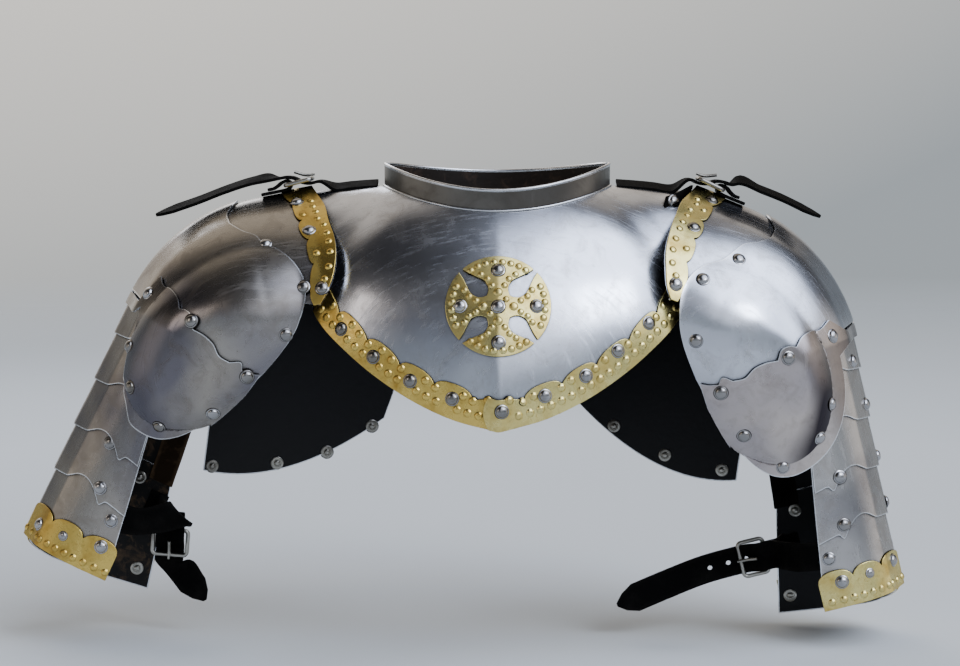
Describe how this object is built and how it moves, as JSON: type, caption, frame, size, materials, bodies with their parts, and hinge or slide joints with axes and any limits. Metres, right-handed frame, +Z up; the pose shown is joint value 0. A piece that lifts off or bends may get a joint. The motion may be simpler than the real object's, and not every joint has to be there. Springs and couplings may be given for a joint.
{
  "type": "gorget with a pair of pauldrons",
  "caption": "Steel gorget with a low collar, brass scalloped borders and a cross badge, and two articulated pauldrons buckled to it with leather straps.",
  "frame": {"origin": "middle of the neck opening, at the height where the collar meets the gorget at the sides of the neck", "axes": "+Z up along the neck, -Y the wearer's front, +X the wearer's left"},
  "size_m": [0.6145, 0.2306, 0.3259],
  "materials": {
    "polished_steel": "polished by hand, with fine scratches and light tarnish",
    "collar_steel": "darkened steel, bright where the edge is worn",
    "buckle_steel": "dull nickelled wire",
    "brass": "bright brass with brown tarnish in the hollows",
    "black_leather": "black dyed strap leather, dull",
    "suede": "dark brown rough leather"
  },
  "bodies": {
    "root": {"back_collar": "collar_steel", "back_plate": "polished_steel", "cross_badge": "brass", "front_collar": "collar_steel", "front_plate": "polished_steel", "left_arm_buckle": "buckle_steel", "left_arm_strap": "black_leather", "left_arm_tab": "black_leather", "left_arm_tongue": "buckle_steel", "left_cap_plate": "polished_steel", "left_cuff_border": "brass", "left_lame_1": "polished_steel", "left_lame_2": "polished_steel", "left_lame_3": "polished_steel", "left_lame_4": "polished_steel", "left_lame_5": "polished_steel", "left_lame_strap": "suede", "left_lower_border": "brass", "left_neck_border": "brass", "left_neck_plate": "polished_steel", "left_shoulder_buckle": "buckle_steel", "left_shoulder_strap": "black_leather", "left_shoulder_tab": "black_leather", "left_shoulder_tongue": "buckle_steel", "left_wing_plate": "polished_steel", "right_arm_buckle": "buckle_steel", "right_arm_strap": "black_leather", "right_arm_tab": "black_leather", "right_arm_tongue": "buckle_steel", "right_cap_plate": "polished_steel", "right_cuff_border": "brass", "right_lame_1": "polished_steel", "right_lame_2": "polished_steel", "right_lame_3": "polished_steel", "right_lame_4": "polished_steel", "right_lame_5": "polished_steel", "right_lame_strap": "suede", "right_lower_border": "brass", "right_neck_border": "brass", "right_neck_plate": "polished_steel", "right_shoulder_buckle": "buckle_steel", "right_shoulder_strap": "black_leather", "right_shoulder_tab": "black_leather", "right_shoulder_tongue": "buckle_steel", "right_wing_plate": "polished_steel"}
  },
  "joints": []
}
